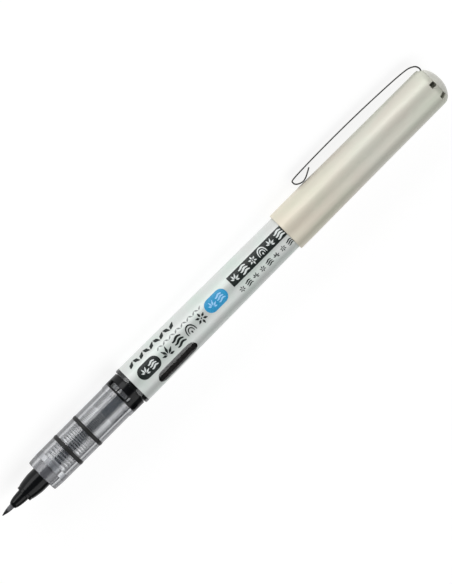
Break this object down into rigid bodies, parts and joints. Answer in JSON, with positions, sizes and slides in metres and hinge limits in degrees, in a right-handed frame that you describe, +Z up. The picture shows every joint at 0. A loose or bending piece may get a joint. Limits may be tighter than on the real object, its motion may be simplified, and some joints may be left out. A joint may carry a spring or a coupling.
{
  "type": "calligraphy marker",
  "caption": "Free-ink calligraphy marker with a felt brush nib, clear finned-feed grip, printed barrel with an ink window, and a posted cap with a spring clip.",
  "frame": {"origin": "on the surface the pen lies on, below the middle of its outer box", "axes": "+X along the pen's axis from nib to crown, +Z up, the clip on the +Y side and turned down until it rests on the surface"},
  "size_m": [0.152, 0.0136, 0.0112],
  "materials": {
    "felt": "pressed fibre, wet with black ink at the tip",
    "black_gloss_plastic": "glossy black moulding",
    "ink_soaked_fibre": "bonded fibre soaked with ink",
    "milky_plastic": "milky moulding, grey where the ink wets it",
    "clear_plastic": "clear, slightly smoky polished moulding",
    "black_elastomer": "satin black elastomer",
    "clear_barrel_plastic": "clear polished tube, dark where ink lies behind it",
    "silver_print_film": "silvery pearl ink film with dark and blue printed marks",
    "black_ink": "liquid black ink",
    "pearl_plastic": "pearl moulding, warm white with a faint colour shift",
    "white_plastic": "natural white moulding",
    "crown_plastic": "pearl grey moulding",
    "spring_steel": "bright spring steel strip"
  },
  "bodies": {
    "pen": {"nib": "felt", "nose_cone": "black_gloss_plastic", "relay_core": "ink_soaked_fibre", "collector": "milky_plastic", "grip_section": "clear_plastic", "front_grip_ring": "black_elastomer", "rear_grip_ring": "black_elastomer", "joint_ring": "black_gloss_plastic", "barrel": "clear_barrel_plastic", "barrel_film": "silver_print_film", "ink_charge": "black_ink", "tail_plug": "black_gloss_plastic"},
    "cap": {"cap_shell": "pearl_plastic", "inner_cap": "white_plastic", "crown": "crown_plastic"},
    "clip": {"clip": "spring_steel"}
  },
  "joints": [
    {"name": "cap_slide", "type": "slide", "parent": "pen", "child": "cap", "axis": [1, 0, 0], "range_m": [0, 0.045]},
    {"name": "clip_flex", "type": "hinge", "parent": "cap", "child": "clip", "pos_m": [0.074, 0.0026, 0.00333], "axis": [0, -0.5165, -0.8563], "range_deg": [0, 4.5], "stiffness_Nm_per_rad": 0.15, "springref_deg": -1.72}
  ]
}
